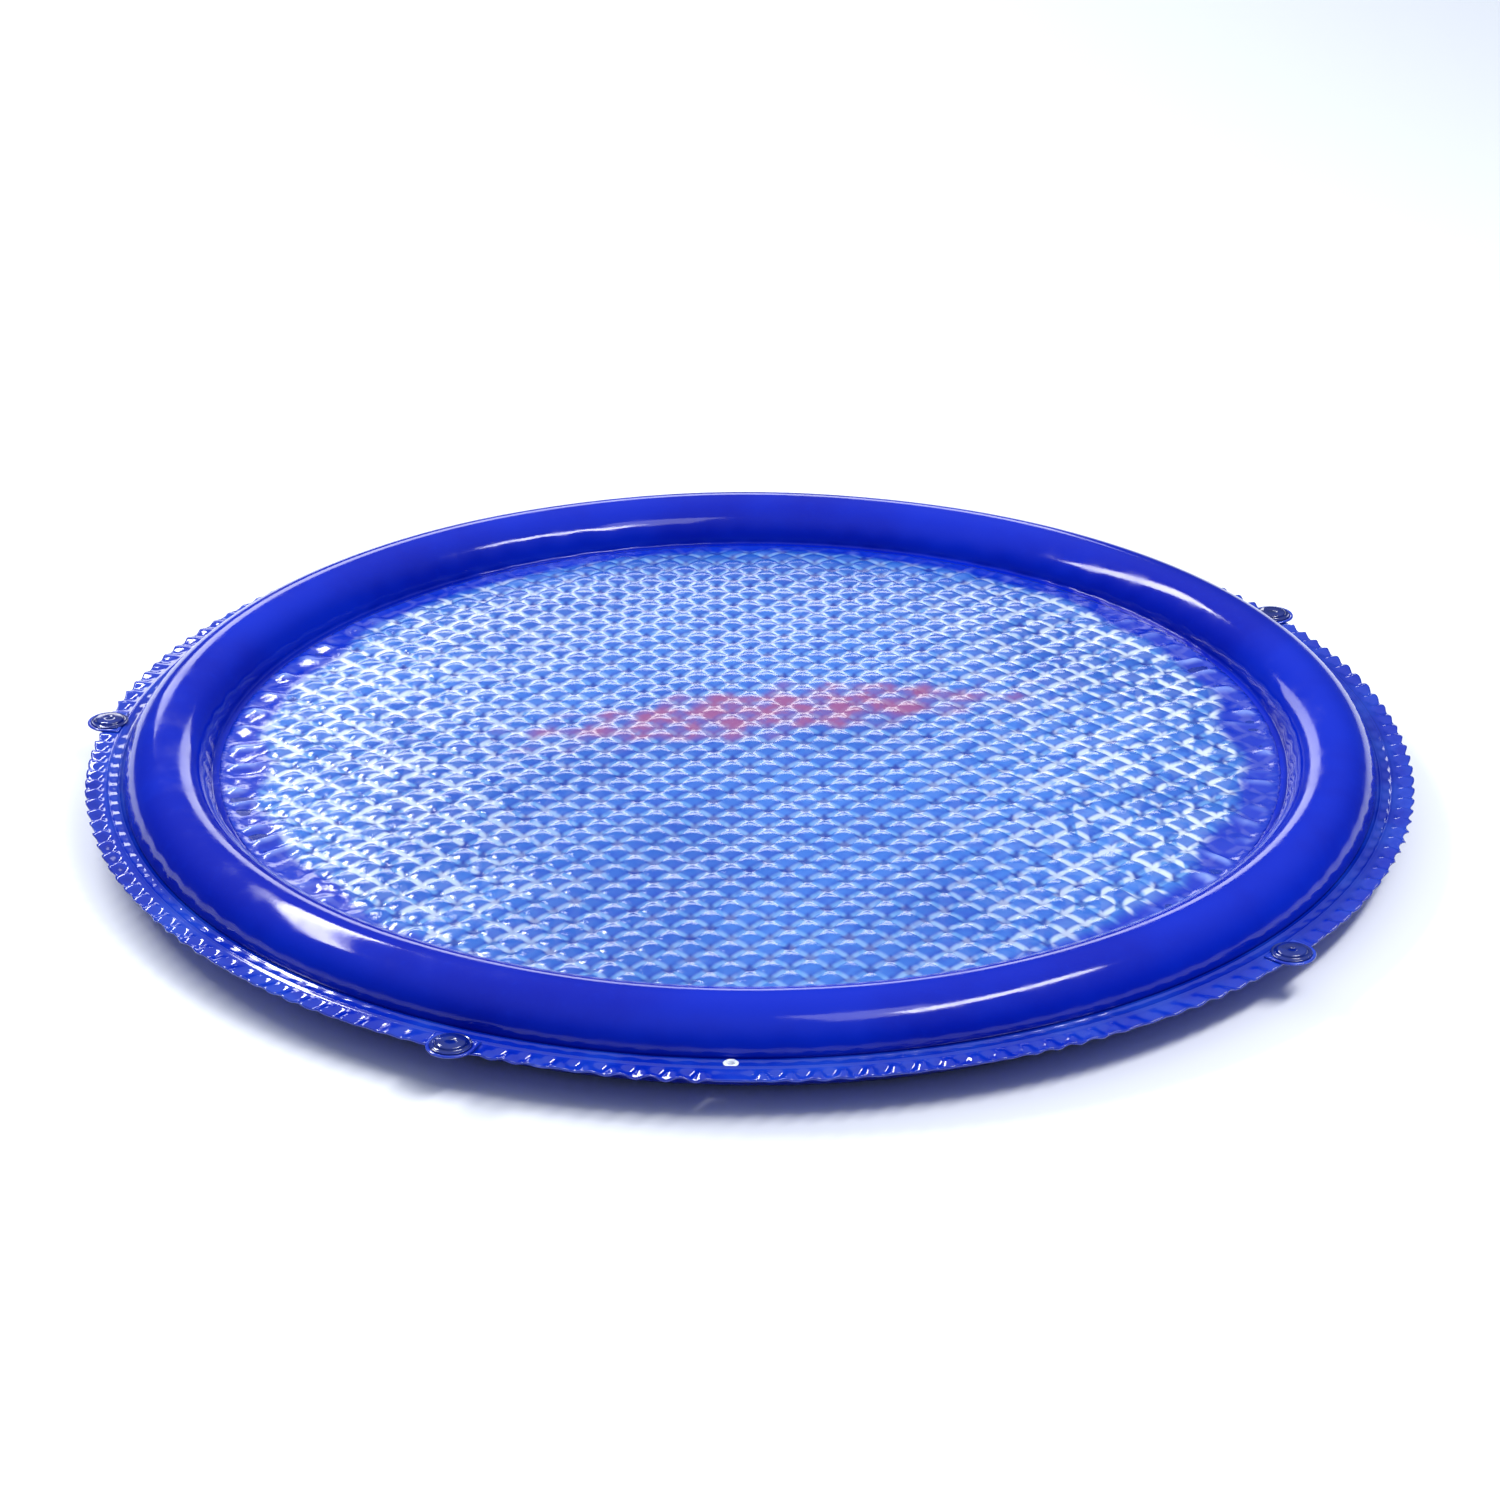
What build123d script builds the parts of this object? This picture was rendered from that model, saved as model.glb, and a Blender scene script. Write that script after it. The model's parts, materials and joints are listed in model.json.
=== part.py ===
from build123d import *

import os
from math import cos, radians, sin, sqrt

os.makedirs("parts", exist_ok=True)

# An inflatable ring that floats on a pool and warms it. An air tube forms the rim, a clear
# quilted lens film closes its middle, and an absorber film lies under the lens film, with air
# sealed in between. A skirt hem runs round the outside and carries magnet tabs.
# Millimetres, +Z up, -Y is the front. The origin is on the ring's axis, on the ground under it.

# ---- Driving dimensions ----
film = 2.0
rim_centre_radius = 670.0
rim_section_radius = 50.0
rest_flat_half_width = 8.0
inner_flange_radius = 606.0
hem_radius = 762.0
lens_rise = 15.0
absorber_sag = 20.0

tab_count = 5
first_tab_angle = 174.6
tab_centre_radius = 756.0
tab_inner_radius = 739.0
tab_end_radius = 26.0
magnet_radius = 15.0
magnet_thickness = 3.0
cover_gap = 0.3
cover_wall = 1.2
cover_brim_radius = 22.0

eyelet_angle = 268.5
eyelet_centre_radius = 729.0
eyelet_hole_radius = 4.0
eyelet_barrel_radius = 5.5
eyelet_head_radius = 8.0
eyelet_head_thickness = 1.0

pocket_count = 4
pocket_centre_radius = 330.0
pocket_radius = 90.0
fill_hole_count = 3
fill_hole_radius = 6.0
fill_hole_circle = 40.0

rim_valve_angle = 92.0
rim_valve_lift_angle = 28.0
chamber_valve_angle = 235.0
chamber_valve_radius = 200.0
collar_radius = 15.0
collar_depth = 9.0
collar_height = 2.5
stem_radius = 7.9
stem_clearance = 0.1
stem_depth = 17.0
port_radius = 5.2
mouth_radius = 6.0
lip_radius = 9.5
lip_thickness = 1.5
cap_thickness = 2.0
plug_radius = 5.2
plug_length = 4.2
plug_taper = 10.0
flap_radius = 6.5
flap_thickness = 1.2
valve_gap = 0.3
hinge_reach = 12.0
tongue_width = 6.0

# ---- Sizes that follow ----
seam_height = sqrt(rim_section_radius**2 - rest_flat_half_width**2)
outer_equator = rim_centre_radius + rim_section_radius
inner_equator = rim_centre_radius - rim_section_radius
hem_root_radius = outer_equator - film
tab_bottom = seam_height + film
magnet_bottom = tab_bottom + film
cover_inner_radius = magnet_radius + cover_gap
cover_outer_radius = cover_inner_radius + cover_wall
cover_ceiling = magnet_bottom + magnet_thickness + cover_gap
absorber_edge_bottom = seam_height - film
pocket_edge_bottom = absorber_edge_bottom - film
tongue_end = hinge_reach - valve_gap
lip_bottom = collar_height + valve_gap
cap_bottom = lip_bottom + lip_thickness + valve_gap


def place_on_ring(radius, angle, height):
    """A level plane at a radius and angle of the ring, with its X pointing outwards."""
    outwards = Vector(cos(radians(angle)), sin(radians(angle)), 0)
    return Plane(origin=outwards * radius + Vector(0, 0, height), x_dir=outwards, z_dir=(0, 0, 1))


def write_piece(piece, name):
    piece.part.label = name
    export_step(piece.part, f"parts/{name}.step")


eyelet_plane = place_on_ring(eyelet_centre_radius, eyelet_angle, seam_height)

# The rim valve stands square on the tube's outer flank, its hinge side along the rim.
rim_valve_outwards = Vector(
    cos(radians(rim_valve_lift_angle)) * cos(radians(rim_valve_angle)),
    cos(radians(rim_valve_lift_angle)) * sin(radians(rim_valve_angle)),
    sin(radians(rim_valve_lift_angle)),
)
rim_valve_foot = place_on_ring(rim_centre_radius, rim_valve_angle, seam_height)
rim_valve_plane = Plane(
    origin=rim_valve_foot.origin + rim_valve_outwards * rim_section_radius,
    x_dir=rim_valve_foot.y_dir,
    z_dir=rim_valve_outwards,
)

# The chamber valve points straight down out of the absorber film.
chamber_valve_height = absorber_edge_bottom - absorber_sag * (
    1 - (chamber_valve_radius / inner_flange_radius) ** 2
)
chamber_valve_level = place_on_ring(
    chamber_valve_radius, chamber_valve_angle, chamber_valve_height
)
chamber_valve_plane = Plane(
    origin=chamber_valve_level.origin, x_dir=chamber_valve_level.x_dir, z_dir=(0, 0, -1)
)


def cut_hole(plane, radius, depth):
    """Cuts a round hole through the piece being built, depth to each side of a plane."""
    with BuildSketch(plane) as hole:
        Circle(radius)
    extrude(hole.sketch, amount=depth, both=True, mode=Mode.SUBTRACT)


# ---- Rim tube: two skins welded together at the inner flange, and to the skirt hem outside ----
def tube_wall(side):
    """The wall of the tube and its inner flange above the seam for side 1, below it for side -1."""
    with BuildSketch(Plane.XZ) as wall:
        with Locations((rim_centre_radius, seam_height)):
            Circle(rim_section_radius)
        with Locations((rim_centre_radius, rim_section_radius)):
            Rectangle(2 * rim_section_radius, 2 * rim_section_radius, mode=Mode.INTERSECT)
        offset(amount=-film, mode=Mode.SUBTRACT)
        flange_root = inner_equator + film / 2
        with Locations(((flange_root + inner_flange_radius) / 2, seam_height)):
            Rectangle(flange_root - inner_flange_radius, 2 * film)
        with Locations((rim_centre_radius, seam_height + side * rim_section_radius)):
            Rectangle(4 * rim_section_radius, 2 * rim_section_radius, mode=Mode.INTERSECT)
        with Locations(((hem_root_radius + hem_radius) / 2, seam_height)):
            Rectangle(hem_radius - hem_root_radius, 2 * film, mode=Mode.SUBTRACT)
    return wall.sketch


with BuildPart() as rim_tube_upper:
    revolve(tube_wall(1), axis=Axis.Z)
    cut_hole(rim_valve_plane, collar_radius, collar_depth)
write_piece(rim_tube_upper, "rim_tube_upper")

with BuildPart() as rim_tube_lower:
    revolve(tube_wall(-1), axis=Axis.Z)
write_piece(rim_tube_lower, "rim_tube_lower")


# ---- Films that close the middle ----
def dome_section(edge_bottom, rise):
    """Half the section of a film from the ring's axis to the inner flange, level on the axis.

    The middle stands above the edge by the rise, or hangs below it when the rise is negative.
    """
    edge_top = edge_bottom + film
    with BuildSketch(Plane.XZ) as section:
        with BuildLine():
            Line((0, edge_bottom + rise), (0, edge_top + rise))
            TangentArc((0, edge_top + rise), (inner_flange_radius, edge_top), tangent=(1, 0))
            Line((inner_flange_radius, edge_top), (inner_flange_radius, edge_bottom))
            TangentArc((0, edge_bottom + rise), (inner_flange_radius, edge_bottom), tangent=(1, 0))
        make_face()
    return section.sketch


with BuildPart() as lens_film:
    revolve(dome_section(seam_height, lens_rise), axis=Axis.Z)
write_piece(lens_film, "lens_film")

with BuildPart() as absorber_film:
    revolve(dome_section(absorber_edge_bottom, -absorber_sag), axis=Axis.Z)
    cut_hole(chamber_valve_plane, collar_radius, collar_depth)
write_piece(absorber_film, "absorber_film")

# ---- Water anchor pockets: empty flat pouches under the absorber film, with fill holes ----
for number in range(pocket_count):
    pocket_angle = 45 + number * 360 / pocket_count
    pocket_plane = place_on_ring(pocket_centre_radius, pocket_angle, 0)
    with BuildPart() as anchor_pocket:
        revolve(dome_section(pocket_edge_bottom, -absorber_sag), axis=Axis.Z)
        with BuildSketch(pocket_plane):
            Circle(pocket_radius)
            with PolarLocations(fill_hole_circle, fill_hole_count):
                Circle(fill_hole_radius, mode=Mode.SUBTRACT)
        extrude(amount=seam_height, mode=Mode.INTERSECT)
    write_piece(anchor_pocket, f"anchor_pocket_{number + 1}")

# ---- Skirt hem: a doubled strip, its inner edge welded between the two skins of the tube ----
with BuildPart() as skirt_hem:
    with BuildSketch(Plane.XZ):
        with Locations(((hem_root_radius + hem_radius) / 2, seam_height)):
            Rectangle(hem_radius - hem_root_radius, 2 * film)
    revolve(axis=Axis.Z)
    cut_hole(eyelet_plane, eyelet_barrel_radius, 2 * film)
write_piece(skirt_hem, "skirt_hem")

# ---- Magnet tabs on the hem, each with a magnet under a welded cover ----
for number in range(tab_count):
    tab_angle = first_tab_angle + number * 360 / tab_count
    tab_plane = place_on_ring(tab_centre_radius, tab_angle, tab_bottom)
    tab_root = tab_centre_radius - tab_inner_radius
    with BuildPart() as magnet_tab:
        with BuildSketch(tab_plane):
            Circle(tab_end_radius)
            with Locations((-tab_root, 0)):
                Rectangle(
                    tab_end_radius, 2 * tab_end_radius, align=(Align.MAX, Align.CENTER),
                    mode=Mode.SUBTRACT,
                )
            with Locations((-tab_root, 0)):
                Rectangle(tab_root, 2 * tab_end_radius, align=(Align.MIN, Align.CENTER))
        extrude(amount=film)
    write_piece(magnet_tab, f"magnet_tab_{number + 1}")

    with BuildPart() as magnet:
        with BuildSketch(tab_plane.offset(film)):
            Circle(magnet_radius)
        extrude(amount=magnet_thickness)
    write_piece(magnet, f"magnet_{number + 1}")

    with BuildPart() as magnet_cover:
        with BuildSketch(tab_plane.offset(film)):
            Circle(cover_brim_radius)
        extrude(amount=cover_wall)
        with BuildSketch(tab_plane.offset(film)):
            Circle(cover_outer_radius)
        extrude(amount=cover_ceiling + cover_wall - magnet_bottom)
        with BuildSketch(tab_plane.offset(film)):
            Circle(cover_inner_radius)
        extrude(amount=cover_ceiling - magnet_bottom, mode=Mode.SUBTRACT)
    write_piece(magnet_cover, f"magnet_cover_{number + 1}")

# ---- Tether eyelet through the hem: a headed barrel and its washer ----
with BuildPart() as eyelet_barrel:
    with BuildSketch(eyelet_plane.offset(film)):
        Circle(eyelet_head_radius)
    extrude(amount=eyelet_head_thickness)
    with BuildSketch(eyelet_plane.offset(-film - eyelet_head_thickness)):
        Circle(eyelet_barrel_radius)
    extrude(amount=2 * film + eyelet_head_thickness)
    cut_hole(eyelet_plane, eyelet_hole_radius, 2 * film)
write_piece(eyelet_barrel, "eyelet_barrel")

with BuildPart() as eyelet_washer:
    with BuildSketch(eyelet_plane.offset(-film - eyelet_head_thickness)):
        Circle(eyelet_head_radius)
        Circle(eyelet_barrel_radius, mode=Mode.SUBTRACT)
    extrude(amount=eyelet_head_thickness)
write_piece(eyelet_washer, "eyelet_washer")


# ---- Inflation valves ----
def hinged_disc(plane):
    """A disc of the lip's size with a tongue that reaches to the hinge line."""
    with BuildSketch(plane) as disc:
        Circle(lip_radius)
        Rectangle(tongue_end, tongue_width, align=(Align.MIN, Align.CENTER))
    return disc.sketch


def build_valve(prefix, plane):
    """A collar welded into the skin, a stem that slides in it, a plug cap and a check flap."""
    with BuildPart() as collar:
        with BuildSketch(plane.offset(-collar_depth)):
            Circle(collar_radius)
            Circle(stem_radius + stem_clearance, mode=Mode.SUBTRACT)
        extrude(amount=collar_depth + collar_height)
    write_piece(collar, f"{prefix}_valve_collar")

    with BuildPart() as stem:
        with BuildSketch(plane.offset(-stem_depth)):
            Circle(stem_radius)
        extrude(amount=stem_depth + lip_bottom)
        extrude(hinged_disc(plane.offset(lip_bottom)), amount=lip_thickness)
        cut_hole(plane, port_radius, 2 * stem_depth)
        with BuildSketch(plane):
            Circle(mouth_radius)
        extrude(amount=lip_bottom + lip_thickness, mode=Mode.SUBTRACT)
    write_piece(stem, f"{prefix}_valve_stem")

    with BuildPart() as cap:
        extrude(hinged_disc(plane.offset(cap_bottom)), amount=cap_thickness)
        with BuildSketch(plane.offset(cap_bottom)):
            Circle(plug_radius)
        extrude(amount=-plug_length, taper=plug_taper)
    write_piece(cap, f"{prefix}_valve_cap")

    with BuildPart() as flap:
        with BuildSketch(plane.offset(-stem_depth - valve_gap - flap_thickness)):
            Circle(flap_radius)
        extrude(amount=flap_thickness)
    write_piece(flap, f"{prefix}_valve_flap")


build_valve("rim", rim_valve_plane)
build_valve("chamber", chamber_valve_plane)
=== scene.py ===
"""A floating solar heating ring: its vinyl skins, quilted film, puckered hem, tabs and valves."""

import json
from math import atan2, cos, pi, radians, sin, sqrt, tau

import bpy
import numpy as np
from mathutils import Matrix, Vector


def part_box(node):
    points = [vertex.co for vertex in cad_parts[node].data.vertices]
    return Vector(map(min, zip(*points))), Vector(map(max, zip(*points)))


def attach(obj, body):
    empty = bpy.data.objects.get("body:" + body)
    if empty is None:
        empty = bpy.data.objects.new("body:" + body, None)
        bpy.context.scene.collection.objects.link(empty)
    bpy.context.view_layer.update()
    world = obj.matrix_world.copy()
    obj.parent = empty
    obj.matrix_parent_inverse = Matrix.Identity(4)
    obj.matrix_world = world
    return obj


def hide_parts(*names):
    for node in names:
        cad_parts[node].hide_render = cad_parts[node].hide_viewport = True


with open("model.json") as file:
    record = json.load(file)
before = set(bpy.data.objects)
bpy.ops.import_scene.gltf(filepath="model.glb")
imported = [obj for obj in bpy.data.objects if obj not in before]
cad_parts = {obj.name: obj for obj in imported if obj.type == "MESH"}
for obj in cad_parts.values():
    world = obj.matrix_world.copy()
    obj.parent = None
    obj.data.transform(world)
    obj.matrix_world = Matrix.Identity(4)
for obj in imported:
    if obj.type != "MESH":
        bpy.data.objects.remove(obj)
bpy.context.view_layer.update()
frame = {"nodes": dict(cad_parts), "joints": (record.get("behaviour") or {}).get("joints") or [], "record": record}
mounts = {mount["name"]: mount for mount in frame["record"]["mounts"]}
joints = {joint["name"]: joint for joint in frame["joints"]}
random = np.random.default_rng(11)

# ---- Sizes from the frame, in metres ----
tube_low, tube_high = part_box("rim_tube_upper")
hem_low, hem_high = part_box("skirt_hem")
lens_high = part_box("lens_film")[1]
absorber_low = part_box("absorber_film")[0]
washer_low, washer_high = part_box("eyelet_washer")
SEAM = tube_low.z
TUBE = tube_high.z - SEAM
RIM = mounts["rest_face"]["pos_m"][0]
HEM = hem_high.x
FILM = (hem_high.z - hem_low.z) / 2
FILM_EDGE = lens_high.x
LENS_RISE = lens_high.z - SEAM - FILM
ABSORBER_SAG = SEAM - FILM - absorber_low.z
EYELET = Vector(mounts["tether_eyelet"]["pos_m"])
EYELET_HOLE = mounts["tether_eyelet"]["dims"]["r_mm"] / 1000
EYELET_HEAD = (washer_high.x - washer_low.x) / 2
EYELET_HEAD_HEIGHT = washer_high.z - washer_low.z
TAB_TOPS = [Vector(mounts[f"magnet_face_{n}"]["pos_m"]) for n in range(1, 6)]
TAB_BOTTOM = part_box("magnet_tab_1")[0].z
MAGNET_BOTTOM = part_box("magnet_1")[0].z

# ---- Sizes repeated from the CAD, in metres ----
TAB_INNER = 0.739
TAB_END = 0.026
COVER_BRIM = 0.022
COVER_OUTER = 0.0165
POCKET_CENTRE = 0.33
POCKET = 0.09
FILL_HOLE = 0.006
FILL_HOLE_CIRCLE = 0.04
COLLAR = 0.015
COLLAR_DEPTH = 0.009
COLLAR_HEIGHT = 0.0025

# ---- Looks: sizes in metres, and counts ----
CELL = 0.0295
CELL_STEPS = 6
PILLOW = 0.0034
WELD_RIDGE = 0.0009
CROSSING_DIP = 0.0012
WELD_LAP = 0.005
LENS_FOLD = 0.0062
PRINT_CENTRE = (0.03, 0.065)
PRINT_SIZE = (0.25, 0.055)
PRINT_TILT = 0.22
TUBE_STEPS = 600
TUBE_TURNS = 48
ABSORBER_SPACING = 0.0095
POCKET_SPACING = 0.0042
HEM_STEPS = 1440
HEM_PUCKERS = 172
HEM_ROOT = RIM + TUBE - FILM
HEM_FREE = TAB_INNER
HEM_BEADS = (0.7245, 0.7365)
BEAD_HEIGHT = 0.0015
BEAD_WIDTH = 0.0013
WELD_STEPS = 72

# ---- Colours of the quilted film, with its painted light and shade ----
FILM_BLUE = (0.014, 0.09, 0.42)
FILM_PALE = (0.036, 0.15, 0.54)
FILM_DEEP = (0.008, 0.05, 0.4)
# Painted light and painted shade for the cells' slopes.
CELL_PAINTED_LIGHT = (0.13, 0.3, 0.6)
CELL_PAINTED_SHADE = (0.003, 0.025, 0.33)
# Pale weld lines: partly the frosted weld's own colour, partly painted highlight.
WELD_PALE_AND_HIGHLIGHT = (0.17, 0.38, 0.66)
# Painted shade in the dips where the weld lines cross.
CROSSING_SHADE = (0.005, 0.025, 0.26)
# Painted glints: white highlights painted beside the weld lines.
PAINTED_GLINT_WHITE = (0.58, 0.66, 0.76)
PRINT_CORAL = (0.27, 0.07, 0.19)
BORDER_BLUE = (0.0, 0.016, 0.4)
# Painted highlight on the crests of the border's folds.
FOLD_CREST_HIGHLIGHT = (0.35, 0.5, 0.95)


# ---- Small maths ----
def smooth_step(low, high, value):
    """0 at low, 1 at high and smooth between, for numbers and arrays. low may be above high."""
    share = np.clip((value - low) / (high - low), 0.0, 1.0)
    return share * share * (3 - 2 * share)


def turn_apart(a, b):
    """The angle between two directions of the ring, from 0 to pi."""
    return np.abs((a - b + pi) % tau - pi)


def puckers(angle, count, seed):
    """Uneven waves round the ring, count of them, from -1 to 1."""
    sway = 1.1 * np.sin(7 * angle + seed) + 0.7 * np.sin(16 * angle + 2.3 * seed)
    size = 0.62 + 0.26 * np.sin(5 * angle + 1.7 * seed) + 0.12 * np.sin(23 * angle + seed)
    return size * np.sin(count * angle + sway)


def swells(angle, seed):
    """A slow unevenness round the ring, from about -1 to 1."""
    waves = ((3, 0.5, 1.0), (7, 0.3, 2.1), (12, 0.2, 0.7))
    return sum(share * np.sin(count * angle + turn * seed) for count, share, turn in waves)


def side_share(angle):
    """1 at the ring's left and right, falling to 0 at its front and back."""
    return np.cos(angle) ** 2


def bell(value, middle, width):
    """1 at the middle, falling smoothly to 0 on both sides of it."""
    return np.exp(-(((value - middle) / width) ** 2))


def axis_distance(point):
    """How far a point lies from the ring's axis."""
    return sqrt(point.x**2 + point.y**2)


# ---- Mesh building ----
def make_object(name, points, faces):
    """A smooth-shaded mesh object from its points and faces."""
    mesh = bpy.data.meshes.new(name)
    mesh.from_pydata([tuple(p) for p in points], [], [tuple(f) for f in faces])
    mesh.validate()
    mesh.update()
    mesh.shade_smooth()
    piece = bpy.data.objects.new(name, mesh)
    bpy.context.collection.objects.link(piece)
    return piece


def loop_faces(loops, steps, closed):
    """Quads between neighbouring loops of points, and from the last loop to the first if closed."""
    k, j = np.meshgrid(np.arange(loops if closed else loops - 1), np.arange(steps), indexing="ij")
    after, above = (j + 1) % steps, (k + 1) % loops
    corners = (k * steps + j, k * steps + after, above * steps + after, above * steps + j)
    return np.stack(corners, axis=-1).reshape(-1, 4)


def ring_solid(name, radii, heights):
    """A closed solid round the ring. Both arrays have a row for each point of the section."""
    loops, steps = radii.shape
    angles = np.arange(steps) * tau / steps
    points = np.stack([radii * np.cos(angles), radii * np.sin(angles), heights], axis=-1)
    return make_object(name, points.reshape(-1, 3), loop_faces(loops, steps, closed=True))


def lathe(name, profile, centre, axis=(0, 0, 1), steps=64):
    """A ring turned round an axis from a closed profile of (radius, height) pairs."""
    angles = np.arange(steps) * tau / steps
    points = [
        (radius * cos(angle), radius * sin(angle), height)
        for radius, height in profile
        for angle in angles
    ]
    piece = make_object(name, points, loop_faces(len(profile), steps, closed=True))
    turn = Vector(axis).to_track_quat("Z", "Y").to_matrix().to_4x4()
    piece.data.transform(Matrix.Translation(centre) @ turn)
    return piece


def closed_sheet(name, points, faces, thickness):
    """A sheet of a thickness along Z, from the points and faces of its top."""
    count = len(points)
    below = points - np.array([0.0, 0.0, thickness])
    starts, ends = faces.ravel(), np.roll(faces, -1, axis=1).ravel()
    forward, backward = starts * count + ends, ends * count + starts
    open_edge = ~np.isin(forward, backward)
    starts, ends = starts[open_edge], ends[open_edge]
    sides = np.stack([ends, starts, starts + count, ends + count], axis=-1)
    whole = np.vstack([faces, faces[:, ::-1] + count, sides])
    return make_object(name, np.vstack([points, below]), whole)


def drill(piece, centre, axis, radius, depth):
    """Cuts a round hole through a piece, depth to each side of the centre."""
    bpy.ops.mesh.primitive_cylinder_add(vertices=64, radius=radius, depth=2 * depth)
    bit = bpy.context.object
    turn = Vector(axis).to_track_quat("Z", "Y").to_matrix().to_4x4()
    bit.matrix_world = Matrix.Translation(centre) @ turn
    cut = piece.modifiers.new("hole", "BOOLEAN")
    cut.operation = "DIFFERENCE"
    cut.solver = "EXACT"
    cut.object = bit
    bpy.context.view_layer.update()
    graph = bpy.context.evaluated_depsgraph_get()
    old, piece.data = piece.data, bpy.data.meshes.new_from_object(piece.evaluated_get(graph))
    piece.modifiers.clear()
    bpy.data.meshes.remove(old)
    bpy.data.objects.remove(bit)


def finish_piece(piece, material, nodes=(), body="ring"):
    """Gives a piece its material, slot and body, and the CAD nodes that it replaces."""
    piece.data.materials.clear()
    piece.data.materials.append(material)
    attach(piece, body)
    if nodes:
        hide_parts(*nodes)


# ---- Material building ----
def node_material(name):
    """A new material, with its node tree and its shader."""
    material = bpy.data.materials.new(name)
    material.use_nodes = True
    tree = material.node_tree
    return material, tree, tree.nodes["Principled BSDF"]


def put(tree, socket, value):
    """Gives a socket a value: another socket, an RGB tuple or a number."""
    if isinstance(value, bpy.types.NodeSocket):
        tree.links.new(value, socket)
    elif isinstance(value, tuple):
        socket.default_value = (*value, 1.0)
    else:
        socket.default_value = value


def place_of(tree):
    """The place on the object, in metres."""
    return tree.nodes.new("ShaderNodeTexCoord").outputs["Object"]


def noise(tree, scale, detail=3.0, roughness=0.5):
    """Cloudy noise in space, about 0.5 on average. A larger scale makes it finer."""
    texture = tree.nodes.new("ShaderNodeTexNoise")
    put(tree, texture.inputs["Vector"], place_of(tree))
    texture.inputs["Scale"].default_value = scale
    texture.inputs["Detail"].default_value = detail
    texture.inputs["Roughness"].default_value = roughness
    return texture.outputs["Fac"]


def spread(tree, value, low, high, to_low, to_high):
    """Maps a value from one range to another, smoothly at both ends."""
    mapped = tree.nodes.new("ShaderNodeMapRange")
    mapped.interpolation_type = "SMOOTHSTEP"
    put(tree, mapped.inputs["Value"], value)
    ranges = {"From Min": low, "From Max": high, "To Min": to_low, "To Max": to_high}
    for name, number in ranges.items():
        mapped.inputs[name].default_value = number
    return mapped.outputs["Result"]


def mix_colour(tree, share, first, second):
    """The first colour where the share is 0 and the second where it is 1."""
    mixed = tree.nodes.new("ShaderNodeMix")
    mixed.data_type = "RGBA"
    put(tree, mixed.inputs[0], share)
    put(tree, mixed.inputs[6], first)
    put(tree, mixed.inputs[7], second)
    return mixed.outputs[2]


def arithmetic(tree, operation, first, second=0.0):
    """A Math node on two values."""
    node = tree.nodes.new("ShaderNodeMath")
    node.operation = operation
    put(tree, node.inputs[0], first)
    put(tree, node.inputs[1], second)
    return node.outputs[0]


def times(tree, first, second):
    return arithmetic(tree, "MULTIPLY", first, second)


def add_bump(tree, shader, height, strength, distance):
    """Bumps the shader's surface by a height, which counts in units of the distance in metres."""
    bump = tree.nodes.new("ShaderNodeBump")
    bump.inputs["Strength"].default_value = strength
    bump.inputs["Distance"].default_value = distance
    put(tree, bump.inputs["Height"], height)
    put(tree, shader.inputs["Normal"], bump.outputs["Normal"])


def vinyl(name, colour, light, roughness=(0.07, 0.18), coat=0.0, cloud_size=5.0, gloss=0.5):
    """Glossy vinyl film with cloudy colour, fine grain and scuffs that dull the gloss."""
    material, tree, shader = node_material(name)
    clouds = spread(tree, noise(tree, cloud_size, 4.0), 0.35, 0.7, 0.0, 1.0)
    fine = noise(tree, 90.0, 4.0, 0.6)
    tone = mix_colour(tree, clouds, colour, light)
    specks = spread(tree, fine, 0.5, 0.8, 0.0, 0.3)
    put(tree, shader.inputs["Base Color"], mix_colour(tree, specks, tone, light))
    scuffs = spread(tree, noise(tree, 22.0, 6.0, 0.65), 0.4, 0.75, *roughness)
    put(tree, shader.inputs["Roughness"], scuffs)
    shader.inputs["Specular IOR Level"].default_value = gloss
    shader.inputs["Coat Weight"].default_value = coat
    shader.inputs["Coat Roughness"].default_value = 0.04
    add_bump(tree, shader, fine, 0.1, 0.0006)
    return material


def turned_place(tree, stretch):
    """A place turned by 45 degrees, in cells, stretched by a pair of numbers along the weld lines."""
    turned = tree.nodes.new("ShaderNodeMapping")
    turned.inputs["Rotation"].default_value = (0.0, 0.0, pi / 4)
    turned.inputs["Scale"].default_value = (stretch[0] / CELL, stretch[1] / CELL, 1 / CELL)
    put(tree, turned.inputs["Vector"], place_of(tree))
    return turned.outputs["Vector"]


def axis_parts(tree, vector):
    """A vector's three parts."""
    axes = tree.nodes.new("ShaderNodeSeparateXYZ")
    put(tree, axes.inputs["Vector"], vector)
    return [axes.outputs[axis] for axis in "XYZ"]


def cell_offsets(tree):
    """Where a point lies between the weld lines of each of the two sets, from -0.5 to 0.5 cells."""
    sway = times(tree, arithmetic(tree, "SUBTRACT", noise(tree, 9.0), 0.5), 0.22)
    offsets = []
    for along in axis_parts(tree, turned_place(tree, (1.0, 1.0)))[:2]:
        swayed = arithmetic(tree, "ADD", along, sway)
        offsets.append(arithmetic(tree, "SUBTRACT", arithmetic(tree, "FRACT", swayed), 0.5))
    return offsets


def strokes(tree, stretch, scale, low, high):
    """Short uneven streaks along the weld lines, from 0 to 1, that shape the painted glints."""
    texture = tree.nodes.new("ShaderNodeTexNoise")
    put(tree, texture.inputs["Vector"], turned_place(tree, stretch))
    texture.inputs["Scale"].default_value = scale
    texture.inputs["Detail"].default_value = 1.2
    texture.inputs["Roughness"].default_value = 0.55
    return spread(tree, texture.outputs["Fac"], low, high, 0.0, 1.0)


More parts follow.
